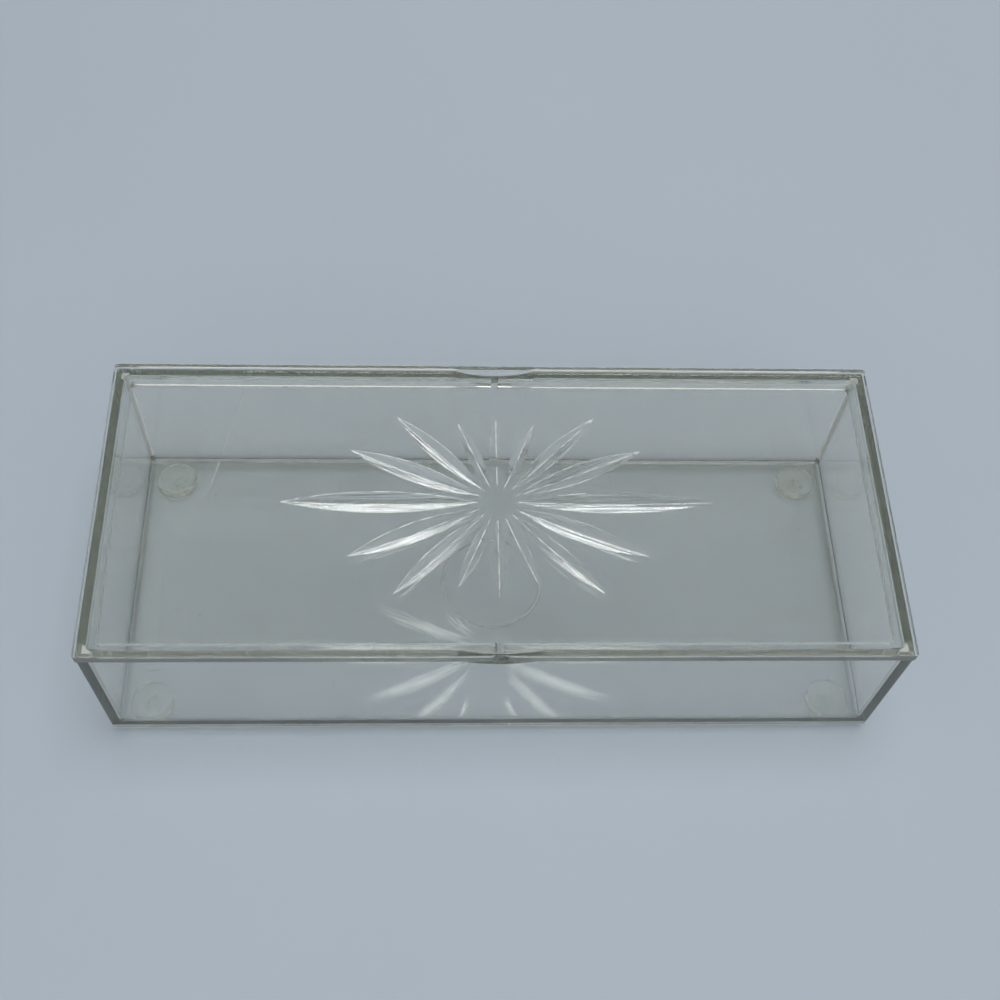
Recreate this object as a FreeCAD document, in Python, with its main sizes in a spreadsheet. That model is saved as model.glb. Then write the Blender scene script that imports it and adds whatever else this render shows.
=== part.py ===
import FreeCAD, Part
import math
import os

import Sketcher

# Clear moulded storage box: an open tray on four dome feet, and a loose lid with a star cut into its top.
# Millimetres and degrees. +Z is up, +X runs along the box, and it stands on z = 0 centred on the origin.

SIZES = {
    # lid plate
    "lid_length": 165.0,
    "lid_width": 69.6,
    "lid_thickness": 2.3,
    "lid_corner_radius": 0.6,
    "lid_edge_round": 0.2,
    "lid_overhang": 0.3,
    # locating rib under the lid
    "rib_height": 2.0,
    "rib_thickness": 1.3,
    "rib_clearance": 0.25,
    "rib_nick_width": 1.5,
    # scar of the trimmed moulding gate on the lid's front edge
    "gate_scar_width": 2.8,
    "gate_scar_depth": 0.3,
    # tray
    "tray_height": 35.7,
    "wall_thickness": 1.8,
    "floor_thickness": 2.2,
    "draft_angle": 0.5,
    "tray_corner_radius": 0.4,
    "cavity_round": 0.9,
    "base_edge_round": 0.3,
    # finger dips in the front and rear rims
    "dip_chord": 17.6,
    "dip_depth": 1.9,
    # round moulding mark under the floor
    "ring_diameter": 22.4,
    "ring_depth": 0.35,
    # dome feet, with their centres set in from the ends and sides of the tray's base
    "foot_diameter": 9.2,
    "foot_height": 2.0,
    "foot_band": 0.5,
    "foot_pad_diameter": 3.0,
    "foot_end_setback": 7.9,
    "foot_side_setback": 6.9,
    # star cut: each kind of petal reaches this far from the lid's centre and is this wide at its middle
    "star_blank_radius": 4.0,
    "star_flank_angle": 20.0,
    "end_petal_reach": 45.0,
    "end_petal_width": 5.2,
    "low_petal_reach": 33.3,
    "low_petal_width": 4.6,
    "corner_petal_reach": 30.0,
    "corner_petal_width": 3.8,
    "high_petal_reach": 21.3,
    "high_petal_width": 3.0,
    "side_petal_reach": 22.0,
    "side_petal_width": 3.2,
    # how far a cut runs past the surface that it starts from
    "cut_overrun": 1.0,
}

# Kinds of petal in the order in which they follow each other from the +X axis round to the +Y axis.
PETAL_KINDS = ("end", "low", "corner", "high", "side")
PETAL_COUNT = 4 * (len(PETAL_KINDS) - 1)

# Sizes that follow from the driving ones, as expressions on the sheet.
DRAFT_SLOPE = "tan(sizes.draft_angle * 1 deg)"
FLANK_SLOPE = "tan(sizes.star_flank_angle * 1 deg)"
TRAY_LENGTH = "(sizes.lid_length - 2 * sizes.lid_overhang)"
TRAY_WIDTH = "(sizes.lid_width - 2 * sizes.lid_overhang)"
BASE_LENGTH = f"({TRAY_LENGTH} - 2 * sizes.tray_height * {DRAFT_SLOPE})"
BASE_WIDTH = f"({TRAY_WIDTH} - 2 * sizes.tray_height * {DRAFT_SLOPE})"
CAVITY_LENGTH = f"({TRAY_LENGTH} - 2 * sizes.wall_thickness)"
CAVITY_WIDTH = f"({TRAY_WIDTH} - 2 * sizes.wall_thickness)"
CAVITY_DEPTH = "(sizes.tray_height - sizes.floor_thickness)"
RIB_LENGTH = f"({CAVITY_LENGTH} - 2 * sizes.rib_clearance)"
RIB_WIDTH = f"({CAVITY_WIDTH} - 2 * sizes.rib_clearance)"
RIB_INNER_LENGTH = f"({RIB_LENGTH} - 2 * sizes.rib_thickness)"
RIB_INNER_WIDTH = f"({RIB_WIDTH} - 2 * sizes.rib_thickness)"
RIM_HEIGHT = "(sizes.foot_height + sizes.tray_height)"
FOOT_X = f"({BASE_LENGTH} / 2 - sizes.foot_end_setback)"
FOOT_Y = f"({BASE_WIDTH} / 2 - sizes.foot_side_setback)"

# How a sketch numbers the points of a line, its own axes, and its origin as the start of its cross axis.
START, END, CENTRE = range(1, 4)
CROSS_AXIS, UP_AXIS = range(-1, -3, -1)
ORIGIN = (CROSS_AXIS, START)

# Edges closer than this to a plane lie in it.
TOUCH = 1e-5

QUARTER_TURN, HALF_TURN, FULL_TURN = 90, 180, 360

doc = FreeCAD.newDocument("clear_box")
sheet = doc.addObject("Spreadsheet::Sheet", "sizes")
for row, (alias, number) in enumerate(SIZES.items(), start=1):
    sheet.set(f"A{row}", alias)
    sheet.set(f"B{row}", str(number))
    sheet.setAlias(f"B{row}", alias)
doc.recompute()


def value(expression):
    """The present value of an expression on the sheet, as a plain number."""
    result = sheet.evalExpression(expression)
    return float(getattr(result, "Value", result))


def bind(target, expressions):
    """Ties properties of an object to expressions on the sheet."""
    for name, expression in expressions.items():
        target.setExpression(name, expression)


def new_sketch(body, name, plane):
    """An empty sketch on one of the body's own origin planes."""
    sketch = body.newObject("Sketcher::SketchObject", name)
    support = next(feature for feature in body.Origin.OriginFeatures if feature.Role == plane)
    sketch.AttachmentSupport = (support, "")
    sketch.MapMode = "FlatFace"
    return sketch


def relate(sketch, kind, *references):
    """A rule between lines or points of a sketch, without a size."""
    sketch.addConstraint(Sketcher.Constraint(kind, *references))


def dimension(sketch, kind, name, expression, *references):
    """A named size in a sketch that follows an expression on the sheet."""
    index = sketch.addConstraint(Sketcher.Constraint(kind, *references, value(expression)))
    sketch.renameConstraint(index, name)
    sketch.setExpression(f"Constraints.{name}", expression)


def add_outline(sketch, corners):
    """Straight lines joined corner to corner into a closed outline."""
    ends = corners[1:] + corners[:1]
    points = [[FreeCAD.Vector(*corner, 0) for corner in pair] for pair in zip(corners, ends)]
    lines = [sketch.addGeometry(Part.LineSegment(*pair)) for pair in points]
    for line, following in zip(lines, lines[1:] + lines[:1]):
        relate(sketch, "Coincident", line, END, following, START)
    return lines


def add_rectangle(sketch, name, length, bottom, top):
    """A rectangle centred across the sketch, between two heights on it."""
    half, low, high = value(length) / 2, value(bottom), value(top)
    corners = [(-half, low), (half, low), (half, high), (-half, high)]
    lower, right, upper, left = add_outline(sketch, corners)
    relate(sketch, "Symmetric", lower, START, lower, END, UP_AXIS)
    relate(sketch, "Horizontal", upper)
    for line in (right, left):
        relate(sketch, "Vertical", line)
    dimension(sketch, "DistanceX", f"{name}_length", length, lower, START, lower, END)
    dimension(sketch, "DistanceY", f"{name}_bottom", bottom, *ORIGIN, lower, START)
    dimension(sketch, "DistanceY", f"{name}_top", top, *ORIGIN, upper, START)


def add_plan(sketch, name, length, width):
    """A rectangle centred on the sketch's origin both ways."""
    add_rectangle(sketch, name, length, f"-{width} / 2", f"{width} / 2")


def pad(body, name, sketch, length):
    feature = body.newObject("PartDesign::Pad", name)
    feature.Profile = sketch
    bind(feature, {"Length": length})
    return feature


def cut(body, kind, name, sketch, settings, expressions):
    """A pocket or a groove, which has to take something away."""
    doc.recompute()
    before = body.Shape.Volume
    feature = body.newObject(f"PartDesign::{kind}", name)
    feature.Profile = sketch
    for setting, choice in settings.items():
        setattr(feature, setting, choice)
    bind(feature, expressions)
    doc.recompute()
    if body.Shape.Volume >= before:
        raise RuntimeError(f"{name} cuts nothing")


def cut_through(body, name, sketch):
    cut(body, "Pocket", name, sketch, {"Type": "ThroughAll", "SideType": "Symmetric"}, {})


def fillet(body, name, radius, chosen):
    """Rounds those edges of the body's present shape that the test picks."""
    doc.recompute()
    base = body.Tip
    edges = [f"Edge{number}" for number, edge in enumerate(base.Shape.Edges, start=1) if chosen(edge)]
    feature = body.newObject("PartDesign::Fillet", name)
    feature.Base = (base, edges)
    bind(feature, {"Radius": radius})


def lies_at(edge, height):
    """Whether an edge lies in the level plane at this height in its body."""
    return all(abs(vertex.Z - height) < TOUCH for vertex in edge.Vertexes)


def climbs_from(edge, height):
    """Whether an edge starts at this height in its body and climbs, as where two walls meet."""
    heights = sorted(vertex.Z for vertex in edge.Vertexes)
    return abs(heights[0] - height) < TOUCH and heights[-1] > height + TOUCH


def make_tray():
    """Floor and four drafted walls in one moulding, with a finger dip in the front and rear rims."""
    body = doc.addObject("PartDesign::Body", "tray")
    base_plan = new_sketch(body, "base_plan", "XY_Plane")
    add_plan(base_plan, "base", BASE_LENGTH, BASE_WIDTH)
    block = pad(body, "tray_block", base_plan, "sizes.tray_height")
    bind(block, {"TaperAngle": "sizes.draft_angle"})
    fillet(body, "tray_corners", "sizes.tray_corner_radius", lambda edge: climbs_from(edge, 0))
    fillet(body, "base_edges", "sizes.base_edge_round", lambda edge: lies_at(edge, 0))

    mouth_plan = new_sketch(body, "mouth_plan", "XY_Plane")
    bind(mouth_plan, {"AttachmentOffset.Base.z": "sizes.tray_height"})
    add_plan(mouth_plan, "mouth", CAVITY_LENGTH, CAVITY_WIDTH)
    drafted_depth = {"Length": CAVITY_DEPTH, "TaperAngle": "-sizes.draft_angle"}
    cut(body, "Pocket", "cavity", mouth_plan, {}, drafted_depth)
    floor_top = value("sizes.floor_thickness")
    fillet(body, "cavity_corners", "sizes.cavity_round",
           lambda edge: lies_at(edge, floor_top) or climbs_from(edge, floor_top))

    add_finger_dips(body)
    add_ring_mark(body)
    bind(body, {"Placement.Base.z": "sizes.foot_height"})
    return body


def add_finger_dips(body):
    """One shallow arc cut through the middle of both long walls, down from the rim."""
    dip = new_sketch(body, "dip_profile", "XZ_Plane")
    half_chord, rim = value("sizes.dip_chord / 2"), value("sizes.tray_height")
    bottom_height = value("sizes.tray_height - sizes.dip_depth")
    left, right = FreeCAD.Vector(-half_chord, rim, 0), FreeCAD.Vector(half_chord, rim, 0)
    bottom = FreeCAD.Vector(0, bottom_height, 0)
    arc = dip.addGeometry(Part.Arc(left, bottom, right))
    rim_line = dip.addGeometry(Part.LineSegment(right, left))
    lowest = dip.addGeometry(Part.Point(bottom), True)
    relate(dip, "Coincident", arc, START, rim_line, END)
    relate(dip, "Coincident", arc, END, rim_line, START)
    relate(dip, "Symmetric", rim_line, START, rim_line, END, UP_AXIS)
    relate(dip, "PointOnObject", lowest, START, arc)
    relate(dip, "PointOnObject", lowest, START, UP_AXIS)
    dimension(dip, "DistanceX", "dip_chord", "sizes.dip_chord", arc, START, arc, END)
    dimension(dip, "DistanceY", "rim", "sizes.tray_height", *ORIGIN, rim_line, START)
    dimension(dip, "DistanceY", "dip_depth", "sizes.dip_depth", lowest, START, rim_line, START)
    cut_through(body, "finger_dips", dip)


def add_ring_mark(body):
    """A shallow round recess under the middle of the floor."""
    ring = new_sketch(body, "ring_plan", "XY_Plane")
    edge = Part.Circle(FreeCAD.Vector(), FreeCAD.Vector(0, 0, 1), value("sizes.ring_diameter / 2"))
    circle = ring.addGeometry(edge)
    relate(ring, "Coincident", circle, CENTRE, *ORIGIN)
    dimension(ring, "Diameter", "ring_diameter", "sizes.ring_diameter", circle)
    cut(body, "Pocket", "ring_mark", ring, {"Reversed": True}, {"Length": "sizes.ring_depth"})


def make_lid():
    """Flat plate that overhangs the tray, with a locating rib underneath and the star cut on top."""
    body = doc.addObject("PartDesign::Body", "lid")
    lid_plan = new_sketch(body, "lid_plan", "XY_Plane")
    add_plan(lid_plan, "lid", "sizes.lid_length", "sizes.lid_width")
    pad(body, "lid_plate", lid_plan, "sizes.lid_thickness")
    lid_top = value("sizes.lid_thickness")
    fillet(body, "lid_corners", "sizes.lid_corner_radius", lambda edge: climbs_from(edge, 0))
    fillet(body, "lid_edges", "sizes.lid_edge_round", lambda edge: lies_at(edge, lid_top))

    rib_plan = new_sketch(body, "rib_plan", "XY_Plane")
    add_plan(rib_plan, "rib", RIB_LENGTH, RIB_WIDTH)
    add_plan(rib_plan, "rib_inner", RIB_INNER_LENGTH, RIB_INNER_WIDTH)
    rib = pad(body, "rib", rib_plan, "sizes.rib_height")
    rib.Reversed = True
    rib_foot = -value("sizes.rib_height")
    fillet(body, "rib_corners", "sizes.cavity_round", lambda edge: climbs_from(edge, rib_foot))

    nick = new_sketch(body, "nick_profile", "XZ_Plane")
    add_rectangle(nick, "nick", "sizes.rib_nick_width", "-sizes.rib_height - sizes.cut_overrun", "0")
    cut_through(body, "rib_nicks", nick)

    scar = new_sketch(body, "scar_plan", "XY_Plane")
    front = "-sizes.lid_width / 2"
    add_rectangle(scar, "scar", "sizes.gate_scar_width", f"{front} - sizes.cut_overrun",
                  f"{front} + sizes.gate_scar_depth")
    cut_through(body, "gate_scar", scar)

    for step in range(PETAL_COUNT):
        cut_petal(body, step)
    bind(body, {"Placement.Base.z": RIM_HEIGHT})
    return body


def cut_petal(body, step):
    """One lens-shaped petal of the star, sunk by the rim of a V-edged cutting wheel.

    The wheel stands upright over the middle of the petal and runs along it. Its rim sinks deepest there and
    leaves the surface at both tips, so the wheel's radius follows from the petal's length and depth.
    """
    quarter = len(PETAL_KINDS) - 1
    kind = PETAL_KINDS[quarter - abs(step % (2 * quarter) - quarter)]
    turn = FULL_TURN / PETAL_COUNT * step
    length = f"(sizes.{kind}_petal_reach - sizes.star_blank_radius)"
    middle = f"((sizes.{kind}_petal_reach + sizes.star_blank_radius) / 2)"
    depth = f"(sizes.{kind}_petal_width / 2 * {FLANK_SLOPE})"
    radius = f"(({length} ^ 2 / 4 + {depth} ^ 2) / (2 * {depth}))"
    edge_height = f"({depth} + sizes.cut_overrun)"
    edge_width = f"(2 * {edge_height} / {FLANK_SLOPE})"

    # The sketch holds the wheel's section below its axle, and the axle lies on the sketch's own cross axis.
    wheel = new_sketch(body, f"petal_wheel_{step}", "XZ_Plane")
    square_across = FreeCAD.Rotation(FreeCAD.Vector(0, 1, 0), turn + QUARTER_TURN)
    wheel.AttachmentOffset = FreeCAD.Placement(FreeCAD.Vector(), square_across)
    bind(wheel, {
        "AttachmentOffset.Base.x": f"{middle} * cos({turn} deg)",
        "AttachmentOffset.Base.y": f"sizes.lid_thickness + {radius} - {depth}",
        "AttachmentOffset.Base.z": f"-{middle} * sin({turn} deg)",
    })
    tip, half, shoulder = -value(radius), value(edge_width) / 2, value(edge_height) - value(radius)
    flank, top, _ = add_outline(wheel, [(0, tip), (half, shoulder), (-half, shoulder)])
    relate(wheel, "PointOnObject", flank, START, UP_AXIS)
    relate(wheel, "Symmetric", top, START, top, END, UP_AXIS)
    dimension(wheel, "DistanceY", "wheel_radius", radius, flank, START, *ORIGIN)
    dimension(wheel, "DistanceY", "edge_height", edge_height, flank, START, flank, END)
    dimension(wheel, "DistanceX", "edge_width", edge_width, top, END, top, START)
    lower_half = {"ReferenceAxis": (wheel, ["H_Axis"]), "Angle": HALF_TURN, "Midplane": True}
    cut(body, "Groove", f"{kind}_petal_{step}", wheel, lower_half, {})


def make_foot(label, side_x, side_y):
    """A clear dome with a flat back against the tray's floor and a small flat pad to stand on."""
    body = doc.addObject("PartDesign::Body", label)
    section = new_sketch(body, f"{label}_section", "XZ_Plane")
    rim, pad_edge = value("sizes.foot_diameter / 2"), value("sizes.foot_pad_diameter / 2")
    top, dome_top = value("sizes.foot_height"), value("sizes.foot_height - sizes.foot_band")
    corners = [(pad_edge, 0), (0, 0), (0, top), (rim, top), (rim, dome_top)]
    points = [FreeCAD.Vector(*corner, 0) for corner in corners]
    lines = [Part.LineSegment(*pair) for pair in zip(points, points[1:])]
    under, axis, back, band = (section.addGeometry(line) for line in lines)

    # The dome is part of a ball whose centre lies on the foot's axis.
    centre = (rim ** 2 + dome_top ** 2 - pad_edge ** 2) / (2 * dome_top)
    ball = Part.Circle(FreeCAD.Vector(0, centre, 0), FreeCAD.Vector(0, 0, 1), math.hypot(pad_edge, centre))
    ends = (math.atan2(height - centre, reach) for reach, height in (corners[0], corners[-1]))
    dome = section.addGeometry(Part.ArcOfCircle(ball, *ends))

    relate(section, "Coincident", under, END, *ORIGIN)
    for line, following in ((under, axis), (axis, back), (back, band)):
        relate(section, "Coincident", line, END, following, START)
    relate(section, "Coincident", dome, START, under, START)
    relate(section, "Coincident", dome, END, band, END)
    relate(section, "PointOnObject", dome, CENTRE, UP_AXIS)
    for line in (under, back):
        relate(section, "Horizontal", line)
    for line in (axis, band):
        relate(section, "Vertical", line)
    dimension(section, "DistanceX", "pad_radius", "sizes.foot_pad_diameter / 2", under, END, under, START)
    dimension(section, "DistanceY", "foot_height", "sizes.foot_height", axis, START, axis, END)
    dimension(section, "DistanceX", "foot_radius", "sizes.foot_diameter / 2", back, START, back, END)
    dimension(section, "DistanceY", "foot_band", "sizes.foot_band", band, END, band, START)

    turned = body.newObject("PartDesign::Revolution", f"{label}_dome")
    turned.Profile = section
    turned.ReferenceAxis = (section, ["V_Axis"])
    bind(body, {"Placement.Base.x": f"{side_x} * {FOOT_X}", "Placement.Base.y": f"{side_y} * {FOOT_Y}"})
    return body


FOOT_CORNERS = {
    "foot_front_left": (-1, -1),
    "foot_front_right": (1, -1),
    "foot_rear_left": (-1, 1),
    "foot_rear_right": (1, 1),
}

pieces = [make_tray(), make_lid()]
pieces += [make_foot(label, *sides) for label, sides in FOOT_CORNERS.items()]
doc.recompute()

for item in doc.Objects:
    if "Invalid" in item.State or "Error" in item.State:
        raise RuntimeError(f"{item.Label} failed: {item.State}")
for piece in pieces:
    shape = piece.Shape
    if shape.isNull() or not shape.isValid() or len(shape.Solids) != 1:
        raise RuntimeError(f"{piece.Label} is not one sound solid")

os.makedirs("parts", exist_ok=True)
for piece in pieces:
    piece.Shape.exportStep(f"parts/{piece.Label}.step")
    box = piece.Shape.optimalBoundingBox()
    corners = [f"{number:.2f}" for number in (box.XMin, box.YMin, box.ZMin, box.XMax, box.YMax, box.ZMax)]
    print(f"{piece.Label}: {piece.Shape.Volume:.1f} mm3, from {corners[:3]} to {corners[3:]}")
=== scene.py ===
"""Clear lidded storage box: a moulded tray, a loose lid with a wheel-cut star, and four dome feet."""
import math

import bmesh
import bpy
from mathutils import Matrix, Vector


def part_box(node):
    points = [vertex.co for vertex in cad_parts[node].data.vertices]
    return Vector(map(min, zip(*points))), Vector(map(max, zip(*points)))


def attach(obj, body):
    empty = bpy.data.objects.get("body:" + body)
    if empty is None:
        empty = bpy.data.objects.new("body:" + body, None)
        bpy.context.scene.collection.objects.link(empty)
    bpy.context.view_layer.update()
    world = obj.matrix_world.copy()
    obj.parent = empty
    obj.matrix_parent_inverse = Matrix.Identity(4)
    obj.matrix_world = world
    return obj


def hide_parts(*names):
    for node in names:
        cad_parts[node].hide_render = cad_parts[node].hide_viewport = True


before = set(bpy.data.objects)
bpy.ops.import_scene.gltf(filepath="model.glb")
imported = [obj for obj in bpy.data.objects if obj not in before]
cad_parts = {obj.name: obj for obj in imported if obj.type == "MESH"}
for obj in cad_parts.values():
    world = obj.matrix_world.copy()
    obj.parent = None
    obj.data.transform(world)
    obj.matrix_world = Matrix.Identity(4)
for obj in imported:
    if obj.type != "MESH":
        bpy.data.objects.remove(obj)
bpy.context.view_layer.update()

# Sizes in metres
MM = 0.001
LID_LOW, LID_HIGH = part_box("lid")
TRAY_LOW, TRAY_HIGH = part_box("tray")
LID_TOP = LID_HIGH.z
RIM = TRAY_HIGH.z
RIB_END = LID_LOW.z
BASE = TRAY_LOW.z

LID_CORNER = 0.6 * MM
LID_EDGE = 0.2 * MM
LID_OVERHANG = 0.3 * MM
RIB_THICKNESS = 1.3 * MM
RIB_CLEARANCE = 0.25 * MM
RIB_CORNER = 0.9 * MM
NICK_WIDTH = 1.5 * MM
SCAR_WIDTH = 2.8 * MM
SCAR_DEPTH = 0.3 * MM

WALL = 1.8 * MM
FLOOR_THICKNESS = 2.2 * MM
FLOOR_TOP = BASE + FLOOR_THICKNESS
DRAFT = math.radians(0.5)
TRAY_CORNER = 0.4 * MM
CAVITY_ROUND = 0.9 * MM
BASE_EDGE = 0.3 * MM
DIP_CHORD = 17.6 * MM
DIP_DEPTH = 1.9 * MM
DIP_SIDES = 256
RING_RADIUS = 11.2 * MM
RING_DEPTH = 0.35 * MM
RING_SIDES = 128

FOOT_BAND = 0.5 * MM
FOOT_PAD_RADIUS = 1.5 * MM
FOOT_SIDES = 96
DOME_STEPS = 10
FOOT_NODES = ("foot_front_left", "foot_front_right", "foot_rear_left", "foot_rear_right")

# Star: each kind of petal has a reach from the lid's middle and a width. Three petals are cut shallower.
STAR_BLANK = 4.0 * MM
STAR_FLANK = math.radians(20)
SHALLOW_FLANKS = {0: math.radians(16), 1: math.radians(11), 2: math.radians(11)}
PETALS = {
    "end": (45.0 * MM, 5.2 * MM),
    "low": (33.3 * MM, 4.6 * MM),
    "corner": (30.0 * MM, 3.8 * MM),
    "high": (21.3 * MM, 3.0 * MM),
    "side": (22.0 * MM, 3.2 * MM),
}
PETAL_COUNT = 16
WHEEL_STEPS = 40
WHEEL_OVERSWING = 1.06
WHEEL_OVERHEIGHT = 1.5

# Clear faces that touch are kept this far apart, so that each one shows as a face of its own.
AIR_GAP = 0.03 * MM
SOFT_EDGE = 0.12 * MM
CUT_OVERRUN = MM
ROUND_STEPS = 8
SMOOTH_LIMIT = math.radians(14)
SAME_PLACE = 0.001 * MM


# Modelling steps
def deselect():
    bpy.ops.object.select_all(action="DESELECT")


def settle(name):
    """Names the new primitive and puts its place into its mesh."""
    piece = bpy.context.object
    piece.name = name
    piece.data.name = name
    bpy.ops.object.transform_apply(location=True, rotation=True, scale=True)
    return piece


def block(name, low, high):
    deselect()
    bpy.ops.mesh.primitive_cube_add(size=1, location=(low + high) / 2, scale=high - low)
    return settle(name)


def rod(name, radius, length, centre, turn, sides):
    deselect()
    bpy.ops.mesh.primitive_cylinder_add(
        vertices=sides, radius=radius, depth=length, location=centre, rotation=turn)
    return settle(name)


def pick_faces(piece, wanted):
    """Selects the faces whose middle passes the test."""
    bpy.ops.mesh.select_mode(type="FACE")
    bpy.ops.mesh.select_all(action="DESELECT")
    for face in bmesh.from_edit_mesh(piece.data).faces:
        if wanted(face.calc_center_median()):
            face.select_set(True)
    bmesh.update_edit_mesh(piece.data)


def pick_edges(piece, wanted):
    """Selects the edges whose two ends pass the test."""
    bpy.ops.mesh.select_mode(type="EDGE")
    bpy.ops.mesh.select_all(action="DESELECT")
    for edge in bmesh.from_edit_mesh(piece.data).edges:
        if wanted(*(end.co for end in edge.verts)):
            edge.select_set(True)
    bmesh.update_edit_mesh(piece.data)


def near(a, b):
    return abs(a - b) < SAME_PLACE


def round_off(radius):
    bpy.ops.mesh.bevel(
        offset_type="OFFSET", offset=radius, segments=ROUND_STEPS, profile=0.5, affect="EDGES")


def rounded_block(name, low, high, corner, lean_in=0.0, top_edge=0.0, foot_edge=0.0):
    """A block about the middle with round upright corners, a drawn-in foot and edges that may be rounded."""
    piece = block(name, low, high)
    bpy.ops.object.mode_set(mode="EDIT")
    pick_faces(piece, lambda middle: near(middle.z, low.z))
    draw_in = (1 - lean_in / high.x, 1 - lean_in / high.y, 1)
    bpy.ops.transform.resize(value=draw_in, center_override=(0, 0, low.z))

    def at_foot(a, b):
        return near(a.z, low.z) and near(b.z, low.z)

    one_radius = near(foot_edge, corner)
    pick_edges(piece, lambda a, b: not near(a.z, b.z) or one_radius and at_foot(a, b))
    round_off(corner)
    if foot_edge and not one_radius:
        pick_edges(piece, at_foot)
        round_off(foot_edge)
    if top_edge:
        pick_edges(piece, lambda a, b: near(a.z, high.z) and near(b.z, high.z))
        round_off(top_edge)
    bpy.ops.object.mode_set(mode="OBJECT")
    return piece


def combine(piece, other, operation):
    deselect()
    bpy.context.view_layer.objects.active = piece
    step = piece.modifiers.new("step", "BOOLEAN")
    step.operation = operation
    step.solver = "EXACT"
    step.object = other
    bpy.ops.object.modifier_apply(modifier=step.name)
    bpy.data.objects.remove(other)


def carve(piece, cutter):
    """Takes the cutter's shape out of the piece."""
    combine(piece, cutter, "DIFFERENCE")


def clean_up(piece):
    """Merges doubled points and shades the rounds smooth, with flat faces level and the cut edges crisp."""
    deselect()
    piece.select_set(True)
    bpy.context.view_layer.objects.active = piece
    bpy.ops.object.mode_set(mode="EDIT")
    bpy.ops.mesh.select_all(action="SELECT")
    bpy.ops.mesh.remove_doubles(threshold=SAME_PLACE)
    bpy.ops.mesh.normals_make_consistent(inside=False)
    bpy.ops.object.mode_set(mode="OBJECT")
    bpy.ops.object.shade_smooth_by_angle(angle=SMOOTH_LIMIT)
    level = piece.modifiers.new("level_faces", "WEIGHTED_NORMAL")
    level.weight = 100
    level.keep_sharp = True
    bpy.ops.object.modifier_apply(modifier=level.name)


# Lid
def model_lid():
    plate_low = Vector((LID_LOW.x, LID_LOW.y, RIM))
    lid = rounded_block("lid_plate", plate_low, LID_HIGH, LID_CORNER, top_edge=LID_EDGE)
    setback = LID_OVERHANG + WALL + RIB_CLEARANCE
    rib_half = Vector((LID_HIGH.x - setback, LID_HIGH.y - setback, 0))
    hollow_half = rib_half - Vector((RIB_THICKNESS, RIB_THICKNESS, 0))
    rib_low, rib_high = Vector((0, 0, RIB_END)), Vector((0, 0, (RIM + LID_TOP) / 2))
    rib = rounded_block("rib", rib_low - rib_half, rib_high + rib_half, RIB_CORNER)
    hollow_low, hollow_high = Vector((0, 0, RIB_END - CUT_OVERRUN)), Vector((0, 0, RIM))
    carve(rib, rounded_block("rib_hollow", hollow_low - hollow_half, hollow_high + hollow_half, RIB_CORNER))
    combine(lid, rib, "UNION")

    nick_half = Vector((NICK_WIDTH / 2, LID_HIGH.y, 0))
    carve(lid, block("nick", hollow_low - nick_half, hollow_high + nick_half))
    scar_low = Vector((-SCAR_WIDTH / 2, LID_LOW.y - CUT_OVERRUN, RIM - CUT_OVERRUN))
    scar_high = Vector((SCAR_WIDTH / 2, LID_LOW.y + SCAR_DEPTH, LID_TOP + CUT_OVERRUN))
    carve(lid, block("scar", scar_low, scar_high))
    for step in range(PETAL_COUNT):
        carve(lid, petal_wheel(step))
    clean_up(lid)
    return lid


def petal_wheel(step):
    """The part of a V-edged cutting wheel that sinks one petal of the star."""
    kinds = list(PETALS)
    quarter = len(kinds) - 1
    reach, width = PETALS[kinds[quarter - abs(step % (2 * quarter) - quarter)]]
    flank = SHALLOW_FLANKS.get(step, STAR_FLANK)
    depth = width / 2 * math.tan(flank)
    length = reach - STAR_BLANK
    radius = (length ** 2 / 4 + depth ** 2) / (2 * depth)
    axle = Vector(((reach + STAR_BLANK) / 2, 0, LID_TOP + radius - depth))
    swing = WHEEL_OVERSWING * math.asin(length / 2 / radius)

    # The triangle starts as an equal-sided one with its point at 1 and its base at -0.5.
    edge_height = WHEEL_OVERHEIGHT * depth
    tall = edge_height / 1.5
    wide = 2 * edge_height / math.tan(flank) / math.sqrt(3)
    outward = Vector((math.sin(-swing), 0, -math.cos(-swing)))
    across = Vector((0, 1, 0))
    turn = Matrix((across, outward, across.cross(outward))).transposed().to_euler()
    deselect()
    bpy.ops.mesh.primitive_circle_add(vertices=3, radius=1, fill_type="NGON", rotation=turn,
                                      location=axle + (radius - tall) * outward)
    bpy.context.object.scale = (wide, tall, 1)
    wheel = settle("petal_wheel")
    bpy.ops.object.mode_set(mode="EDIT")
    bpy.ops.mesh.select_all(action="SELECT")
    bpy.ops.mesh.spin(steps=WHEEL_STEPS, angle=2 * swing, center=axle, axis=(0, 1, 0))
    bpy.ops.mesh.select_all(action="SELECT")
    bpy.ops.mesh.remove_doubles(threshold=SAME_PLACE / 10)
    bpy.ops.mesh.normals_make_consistent(inside=False)
    bpy.ops.object.mode_set(mode="OBJECT")
    wheel.rotation_euler.z = 2 * math.pi / PETAL_COUNT * step
    bpy.ops.object.transform_apply(location=True, rotation=True, scale=True)
    return wheel


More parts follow.
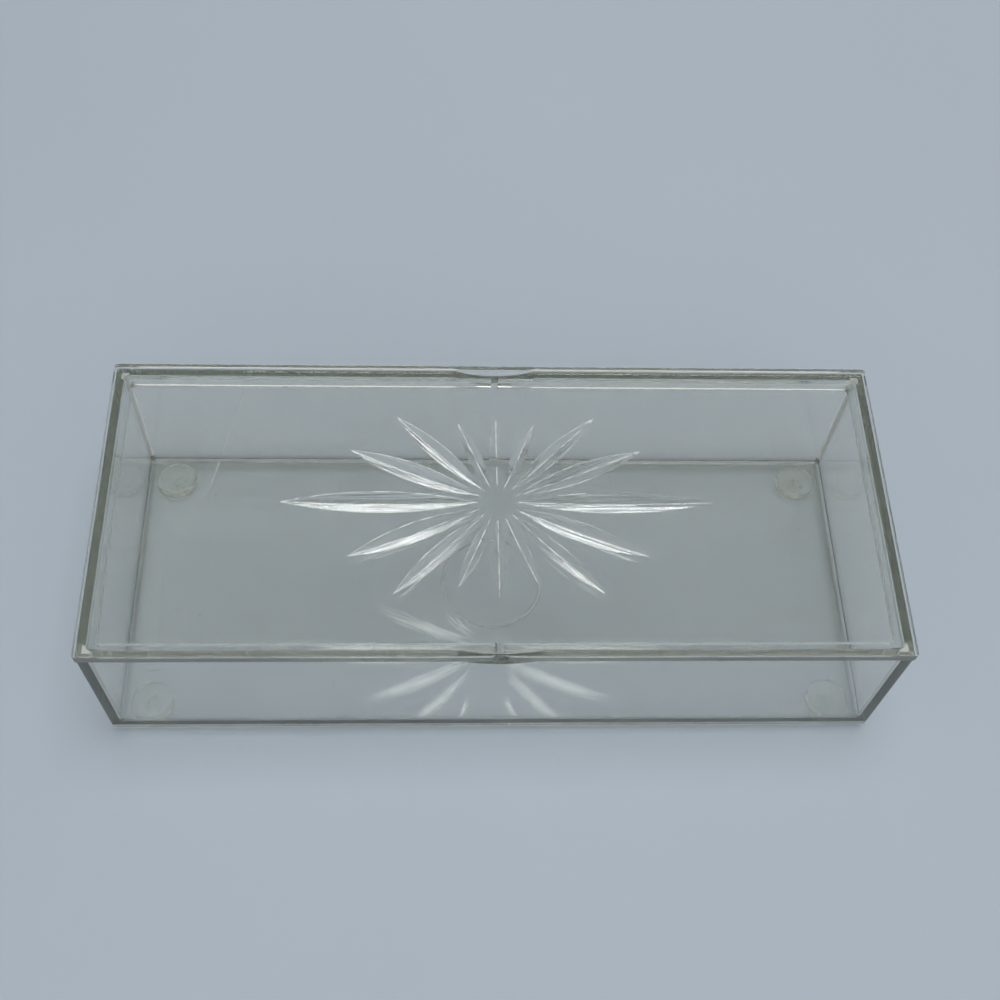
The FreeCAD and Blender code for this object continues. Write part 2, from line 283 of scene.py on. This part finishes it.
# Tray
def model_tray():
    top = RIM - AIR_GAP
    lean = math.tan(DRAFT)
    tray = rounded_block("tray_shell", TRAY_LOW, Vector((TRAY_HIGH.x, TRAY_HIGH.y, top)), TRAY_CORNER,
                         lean_in=lean * (top - BASE), top_edge=SOFT_EDGE, foot_edge=BASE_EDGE)
    inner = Vector((TRAY_HIGH.x - WALL, TRAY_HIGH.y - WALL, 0))
    widen = Vector((lean * CUT_OVERRUN, lean * CUT_OVERRUN, 0))
    cavity_low = Vector((0, 0, FLOOR_TOP)) - inner - widen
    cavity_high = Vector((0, 0, top + CUT_OVERRUN)) + inner + widen
    carve(tray, rounded_block("cavity", cavity_low, cavity_high, CAVITY_ROUND,
                              lean_in=lean * (top + CUT_OVERRUN - FLOOR_TOP), foot_edge=CAVITY_ROUND))

    dip_radius = (DIP_CHORD ** 2 / 4 + DIP_DEPTH ** 2) / (2 * DIP_DEPTH)
    dip_centre = Vector((0, 0, top - DIP_DEPTH + dip_radius))
    carve(tray, rod("dip", dip_radius, 3 * TRAY_HIGH.y, dip_centre, (math.pi / 2, 0, 0), DIP_SIDES))
    carve(tray, rod("ring", RING_RADIUS, 2 * RING_DEPTH, Vector((0, 0, BASE)), (0, 0, 0), RING_SIDES))
    clean_up(tray)
    return tray


# Feet
def model_foot(node):
    low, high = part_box(node)
    middle = (low + high) / 2
    top = high.z - AIR_GAP
    edge = (high.x - low.x) / 2
    dome_top = high.z - FOOT_BAND
    ball_height = (edge ** 2 + dome_top ** 2 - FOOT_PAD_RADIUS ** 2) / (2 * dome_top)
    ball = math.hypot(FOOT_PAD_RADIUS, ball_height)
    deselect()
    bpy.ops.mesh.primitive_circle_add(vertices=FOOT_SIDES, radius=edge, fill_type="NGON",
                                      location=(middle.x, middle.y, top))
    foot = settle(node)
    bpy.ops.object.mode_set(mode="EDIT")
    bpy.ops.mesh.select_all(action="SELECT")
    height, radius = top, edge
    for step in range(DOME_STEPS + 1):
        next_height = dome_top * (1 - step / DOME_STEPS)
        next_radius = math.sqrt(ball ** 2 - (ball_height - next_height) ** 2)
        share = next_radius / radius
        bpy.ops.mesh.extrude_region_move(TRANSFORM_OT_translate={"value": (0, 0, next_height - height)})
        bpy.ops.transform.resize(value=(share, share, 1), center_override=(middle.x, middle.y, next_height))
        height, radius = next_height, next_radius
    bpy.ops.object.mode_set(mode="OBJECT")
    clean_up(foot)
    return foot


# Finishes
class Finish:
    """One material's nodes. node() adds any node: its type, its settings, then its socket values or links."""

    def __init__(self, name):
        self.material = bpy.data.materials.new(name)
        self.material.use_nodes = True
        self.tree = self.material.node_tree
        self.tree.nodes.clear()
        self.point = self.node("TexCoord", output="Object")

    def node(self, kind, settings=None, sockets=None, output=0):
        made = self.tree.nodes.new("ShaderNode" + kind)
        for setting, chosen in (settings or {}).items():
            setattr(made, setting, chosen)
        for socket, given in (sockets or {}).items():
            if isinstance(given, Signal):
                self.tree.links.new(given.socket, made.inputs[socket])
            else:
                made.inputs[socket].default_value = given
        return Signal(self, made.outputs[output] if len(made.outputs) else None)

    def place(self):
        """The surface's X, Y and Z."""
        return [self.node("SeparateXYZ", None, {0: self.point}, output=axis) for axis in range(3)]

    def noise(self, scale, detail=3.0, point=None):
        """Soft noise over the surface, or over other coordinates."""
        return self.node("TexNoise", {"noise_dimensions": "3D"}, {
            "Vector": point or self.point, "Scale": scale, "Detail": detail, "Roughness": 0.55})

    def stretched(self, turn, stretch):
        """The surface's coordinates, turned about the upright axis and stretched."""
        return self.node("Mapping", {"vector_type": "TEXTURE"}, {
            "Vector": self.point, "Rotation": (0, 0, turn), "Scale": stretch})

    def rise(self, signal, low, high, at_low=0.0, at_high=1.0):
        """0 below low, 1 above high, and smooth between."""
        return self.node("MapRange", {"interpolation_type": "SMOOTHSTEP"}, {
            "Value": signal, "From Min": low, "From Max": high, "To Min": at_low, "To Max": at_high})

    def fall(self, signal, low, high):
        """1 below low, 0 above high, and smooth between."""
        return self.rise(signal, low, high, 1.0, 0.0)

    def blend(self, share, first, second):
        """A colour between two colours."""
        return self.node("Mix", {"data_type": "RGBA"}, {0: share, 6: first, 7: second}, output=2)


class Signal:
    """One value in a material. Sums on it add Math nodes."""

    def __init__(self, finish, socket):
        self.finish = finish
        self.socket = socket

    def math(self, operation, other=0.0):
        return self.finish.node("Math", {"operation": operation}, {0: self, 1: other})

    def __add__(self, other):
        return self.math("ADD", other)

    __radd__ = __add__

    def __mul__(self, other):
        return self.math("MULTIPLY", other)

    __rmul__ = __mul__

    def __sub__(self, other):
        return self.math("SUBTRACT", other)

    def __rsub__(self, other):
        return self.finish.node("Math", {"operation": "SUBTRACT"}, {0: other, 1: self})


DEPTH_TINT = (0.25, 0.32, 0.10, 1)
DEPTH_DENSITY = 40.0
FROST_AND_PAINTED_LIGHT = (0.78, 0.80, 0.79, 1)
# The dark colour serves dirt specks and grime, and the tray's painted shade.
DIRT_AND_PAINTED_SHADE = (0.10, 0.10, 0.08, 1)
RELIEF_DEPTH = 0.1 * MM
HAIRLINE_TURNS = (0.35, 1.1, 2.0, 2.75)
HAIRLINE_STRETCH = (0.05, 0.0004, 0.006)


def clear_plastic(name, seed, marks, haze, ior):
    """Clear moulded plastic with haze, hairline scratches, dirt specks, handling smears and its own marks,
    which on the lid and tray include painted light and painted shade.
    """
    finish = Finish(name)
    scratches = hairlines(finish, seed)
    smears = finish.rise(finish.noise(45.0 + seed), 0.5, 0.75)
    worn_and_painted_light, grime_and_painted_shade, relief = marks(finish)
    # The grime includes the tray's painted shade beside the walls.
    dirt_and_painted_shade = dirt_specks(finish, seed) + grime_and_painted_shade
    # The dull share holds haze, smears, scratches, dirt and wear, and the lid's and tray's painted light and
    # shade.
    dull_share = haze + 0.02 * smears + 0.2 * scratches + 0.8 * dirt_and_painted_shade + worn_and_painted_light
    gloss = {
        "Base Color": (1, 1, 1, 1),
        "Roughness": 0.01 + 0.04 * smears + 0.15 * scratches,
        "IOR": ior,
        "Transmission Weight": 1.0,
    }
    if relief:
        bump = {"Strength": 1.0, "Distance": RELIEF_DEPTH, "Height": relief}
        gloss["Normal"] = finish.node("Bump", None, bump)
    clear = finish.node("BsdfPrincipled", None, gloss)
    shade = finish.blend(finish.rise(dirt_and_painted_shade, 0.0, 0.15), FROST_AND_PAINTED_LIGHT, DIRT_AND_PAINTED_SHADE)
    dull = finish.node("BsdfPrincipled", None, {"Base Color": shade, "Roughness": 0.6})
    surface = finish.node("MixShader", None, {0: dull_share, 1: clear, 2: dull})
    depth = finish.node("VolumeAbsorption", None, {"Color": DEPTH_TINT, "Density": DEPTH_DENSITY})
    finish.node("OutputMaterial", None, {"Surface": surface, "Volume": depth})
    return finish.material


def hairlines(finish, seed):
    """Long fine scratches in a few directions, broken up over the surface."""
    lines = []
    for turn in HAIRLINE_TURNS:
        strand = finish.noise(1.0, 0.0, finish.stretched(turn + seed, HAIRLINE_STRETCH))
        lines.append(finish.rise(strand, 0.83, 0.87))
    patches = finish.rise(finish.noise(60.0 + seed), 0.45, 0.6)
    return sum(lines[1:], lines[0]) * patches


def dirt_specks(finish, seed):
    """A few small specks, one here and there in cells of about 5 mm."""
    cells = {"Vector": finish.point, "Scale": 180.0 + 10 * seed}
    distance = finish.node("TexVoronoi", None, cells, output="Distance")
    chance = finish.node("TexVoronoi", None, cells, output="Color")
    chosen = finish.rise(finish.node("SeparateColor", None, {0: chance}), 0.75, 0.76)
    return chosen * finish.fall(distance, 0.02, 0.035)


def lid_marks_and_painted_light(finish):
    """The star's chips and wheel streaks with painted highlights on the petal outlines, valleys and streaks,
    painted light on the front edge face, and dirt in the gate scar and the nick.
    """
    x, y, z = finish.place()
    reach = (x * x + y * y).math("SQRT")
    turn = y.math("ARCTAN2", x)
    across = reach * turn.math("PINGPONG", math.pi / PETAL_COUNT)
    depth = LID_TOP - z

    # The star's cuts are under 1.4 mm deep and lie clear of the lid's edges.
    star_end, star_side = PETALS["end"][0], PETALS["side"][0]
    in_length = finish.fall(reach, star_end + MM, star_end + 1.5 * MM)
    in_width = finish.fall(y * y, (star_side + 3 * MM) ** 2, (star_side + 3.5 * MM) ** 2)
    in_depth = finish.fall(depth, 1.4 * MM, 1.5 * MM) * finish.rise(depth, 0.002 * MM, 0.008 * MM)
    cut = in_length * in_width * in_depth
    edge = finish.fall(depth, 0.04 * MM, 0.08 * MM)
    valley = finish.fall(across, 0.08 * MM, 0.15 * MM)
    lengthwise = turn.math("COSINE")
    outline = (0.25 + 0.6 * lengthwise * lengthwise) * finish.rise(finish.noise(40.0, 1.0), 0.25, 0.6)
    chips = finish.rise(finish.noise(500.0), 0.35, 0.6)
    lane = finish.node("CombineXYZ", None, {0: across * 1500.0, 1: reach * 40.0, 2: turn * 3.0})
    streaks = finish.noise(1.0, 1.0, lane)
    lines = finish.rise(streaks, 0.57, 0.62)
    # The chipped petal edges are real; their white outlines, the white valley lines and the streak lines are
    # painted highlights.
    star = cut * (0.03 + chips * (outline * edge).math("MAXIMUM", 0.55 * valley) + 0.1 * lines)

    # Painted light: the lid's front edge face is frosted lighter.
    front_edge = finish.fall(y, LID_LOW.y + 0.1 * MM, LID_LOW.y + 0.3 * MM)
    middle = finish.fall(x * x, (1.2 * MM) ** 2, (1.8 * MM) ** 2)
    scar = middle * finish.fall(y, LID_LOW.y + 0.4 * MM, LID_LOW.y + 0.7 * MM)
    past_nick = finish.rise(x * x, MM ** 2, (1.2 * MM) ** 2)
    nick_sides = finish.rise(x * x, (0.5 * MM) ** 2, (0.7 * MM) ** 2) - past_nick
    rib_back = LID_LOW.y + LID_OVERHANG + WALL + RIB_CLEARANCE + RIB_THICKNESS
    below_rim = finish.fall(z, RIM - 0.1 * MM, RIM)
    front_rib = below_rim * finish.fall(y, rib_back + 0.15 * MM, rib_back + 0.35 * MM)
    patches = finish.rise(finish.noise(900.0, 2.0), 0.48, 0.6)
    grime_and_painted_shade = (scar + 0.6 * nick_sides * front_rib) * patches
    return star + 0.12 * front_edge, grime_and_painted_shade, 1.1 * cut * streaks


def tray_marks_and_painted_light(finish):
    """Wear on the front corners; painted light on the front rim, the base's front band and bottom edge and
    the ring; a pale frosted line up each inside corner; painted shade on the floor beside the walls.
    """
    x, y, z = finish.place()
    wall_back = TRAY_LOW.y + WALL
    on_front_wall = finish.fall(y, wall_back + 1.2 * MM, wall_back + 1.7 * MM)
    # Painted light: the front rim is frosted lighter.
    front_rim = on_front_wall * finish.rise(z, RIM - 0.3 * MM, RIM - 0.1 * MM)
    low = finish.fall(z, BASE + 1.9 * MM, BASE + 2.3 * MM)
    front = finish.fall(y, TRAY_LOW.y + 0.5 * MM, TRAY_LOW.y + 0.8 * MM)
    # Painted light: the base's front band is frosted lighter, and a painted highlight line runs along its
    # bottom edge.
    base_edge = low * front
    base_line = front * finish.fall(z, BASE + 0.3 * MM, BASE + 0.5 * MM)
    corner = front * finish.rise(x * x, (TRAY_HIGH.x - 0.8 * MM) ** 2, (TRAY_HIGH.x - 0.5 * MM) ** 2)
    reach = (x * x + y * y).math("SQRT")
    off_ring = (reach - RING_RADIUS).math("ABSOLUTE")
    # Painted highlight: the ring under the floor is frosted into a light arc.
    ring = low * finish.fall(off_ring, 0.15 * MM, 0.5 * MM)
    patches = finish.rise(finish.noise(160.0, 4.0), 0.35, 0.65)
    even_wear_and_painted_light = 0.16 * front_rim + 0.07 * corner + 0.26 * base_edge + 0.4 * base_line
    patchy_painted_light = (0.06 * base_edge + 0.35 * ring) * patches

    draw_in = WALL + math.tan(DRAFT) * (RIM - FLOOR_TOP)
    past_end = x.math("ABSOLUTE") - (TRAY_HIGH.x - draw_in)
    past_side = y.math("ABSOLUTE") - (TRAY_HIGH.y - draw_in)
    past_wall = past_end.math("MAXIMUM", past_side)
    # Painted shade: the floor beside the walls is darkened with the dark dirt colour.
    painted_shade_beside_wall = finish.rise(past_wall, -1.8 * MM, -0.4 * MM) * finish.fall(past_wall, 0.2 * MM, 0.3 * MM)
    above = z - FLOOR_TOP
    on_floor = finish.rise(above, -0.2 * MM, -0.1 * MM) * finish.fall(above, 0.8 * MM, 2.6 * MM)
    near_corner = past_end.math("MINIMUM", past_side)
    # A pale frosted line runs up each inside upright corner.
    upright = finish.rise(near_corner, -1.1 * MM, -0.5 * MM) * finish.fall(past_wall, 0.8 * MM, MM)
    return even_wear_and_painted_light + patchy_painted_light + 0.45 * upright, 0.2 * painted_shade_beside_wall * on_floor, None


def foot_marks(finish):
    """Scuffs and grit on the pad that a foot stands on."""
    z = finish.place()[2]
    pad = finish.fall(z, 0.05 * MM, 0.25 * MM)
    scuffs = finish.rise(finish.noise(1500.0), 0.4, 0.7)
    grit = finish.rise(finish.noise(1100.0, 1.0), 0.64, 0.68)
    return 0.4 * pad * scuffs, pad * grit, None


def floor_paper():
    """Pale blue-grey matt backdrop."""
    finish = Finish("pale_floor")
    tint = finish.blend(finish.noise(9.0), (0.385, 0.436, 0.495, 1), (0.405, 0.458, 0.520, 1))
    surface = finish.node("BsdfPrincipled", None, {
        "Base Color": tint, "Roughness": 0.7, "Specular IOR Level": 0.2})
    finish.node("OutputMaterial", None, {"Surface": surface})
    return finish.material


def dress(piece, material, body, node):
    piece.data.materials.clear()
    piece.data.materials.append(material)
    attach(piece, body)
    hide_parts(node)


# The CAD nodes keep their names, so the new pieces get names of their own.
lid = model_lid()
lid.name = "clear_lid_plate"
tray = model_tray()
tray.name = "clear_tray_shell"
lid_plastic = clear_plastic("clear_lid_plastic", 1, lid_marks_and_painted_light, haze=0.02, ior=1.49)
tray_plastic = clear_plastic("clear_tray_plastic", 2, tray_marks_and_painted_light, haze=0.035, ior=1.49)
foot_plastic = clear_plastic("clear_foot_plastic", 3, foot_marks, haze=0.08, ior=1.4)
dress(lid, lid_plastic, "lid", "lid")
dress(tray, tray_plastic, "tray", "tray")
for node in FOOT_NODES:
    foot = model_foot(node)
    foot.name = "clear_dome_" + node
    dress(foot, foot_plastic, "tray", node)


# Floor
FLOOR_SIZE = 6
deselect()
bpy.ops.mesh.primitive_plane_add(size=FLOOR_SIZE, location=(0, 0, -AIR_GAP))
floor = settle("pale_floor")
floor.data.materials.append(floor_paper())


# Light
FRONT_WALL = 0.9
REAR_WALL = 0.2
FRONT_CEILING = 0.45
REAR_CEILING = 0.28
ROOM_COLOUR = (0.98, 1.0, 1.0, 1)


def soft_room():
    """Room light: walls and ceiling, each brighter in front than at the rear."""
    world = bpy.data.worlds.new("soft_room")
    world.use_nodes = True
    nodes, links = world.node_tree.nodes, world.node_tree.links
    direction = nodes.new("ShaderNodeTexCoord")
    split = nodes.new("ShaderNodeSeparateXYZ")
    links.new(direction.outputs["Generated"], split.inputs[0])

    def blend(axis, low, high, at_low, at_high):
        level = nodes.new("ShaderNodeMapRange")
        level.interpolation_type = "SMOOTHSTEP"
        links.new(split.outputs[axis], level.inputs["Value"])
        level.inputs["From Min"].default_value = low
        level.inputs["From Max"].default_value = high
        for socket, given in (("To Min", at_low), ("To Max", at_high)):
            if isinstance(given, float):
                level.inputs[socket].default_value = given
            else:
                links.new(given, level.inputs[socket])
        return level.outputs[0]

    walls = blend("Y", -0.7, 0.7, FRONT_WALL, REAR_WALL)
    ceiling = blend("Y", -0.5, 0.5, FRONT_CEILING, REAR_CEILING)
    links.new(blend("Z", 0.2, 0.75, walls, ceiling), nodes["Background"].inputs["Strength"])
    nodes["Background"].inputs["Color"].default_value = ROOM_COLOUR
    return world


def soft_lamp(name, place, aim, width, height, power):
    data = bpy.data.lights.new(name, "AREA")
    data.shape = "RECTANGLE"
    data.size = width
    data.size_y = height
    data.energy = power
    lamp = bpy.data.objects.new(name, data)
    lamp.location = place
    lamp.rotation_euler = (Vector(aim) - Vector(place)).to_track_quat("-Z", "Y").to_euler()
    bpy.context.scene.collection.objects.link(lamp)
    return lamp


scene = bpy.context.scene
scene.world = soft_room()
top = soft_lamp("top_softbox", place=(0.14, 0.1, 1.5), aim=(0.14, 0.1, 0),
                width=0.8, height=0.7, power=10.6)
top.visible_glossy = False
soft_lamp("front_softbox", place=(0.1, -0.9, 1.2), aim=(0, 0, 0),
          width=1.6, height=1.2, power=5.6)
glint = soft_lamp("rear_strip", place=(0.15, 1.25, 0.55), aim=(0, 0, 0.04),
                  width=0.95, height=0.15, power=5.0)
glint.visible_diffuse = False
glint.visible_transmission = False


# Camera
CAMERA_PLACE = Vector((-13.06, -145.04, 284.48)) * MM
CAMERA_PITCH = 1.0317
CAMERA_YAW = 0.0928
CAMERA_ROLL = 0.0828
camera = bpy.data.objects.new("camera", bpy.data.cameras.new("camera"))
camera.data.sensor_width = 36.0
camera.data.lens = 49.5
camera.data.clip_start = 0.01
aim = Matrix.Rotation(-CAMERA_YAW, 4, "Z") @ Matrix.Rotation(math.pi / 2 - CAMERA_PITCH, 4, "X")
camera.matrix_world = Matrix.Translation(CAMERA_PLACE) @ aim @ Matrix.Rotation(CAMERA_ROLL, 4, "Z")
scene.collection.objects.link(camera)
scene.camera = camera

# Picture: rays pass many clear faces, and no gloss is blurred, so that the light patches stay sharp.
scene.view_settings.view_transform = "Standard"
scene.cycles.max_bounces = 32
scene.cycles.transmission_bounces = 32
scene.cycles.glossy_bounces = 12
scene.cycles.blur_glossy = 0.0
scene.cycles.use_denoising = True
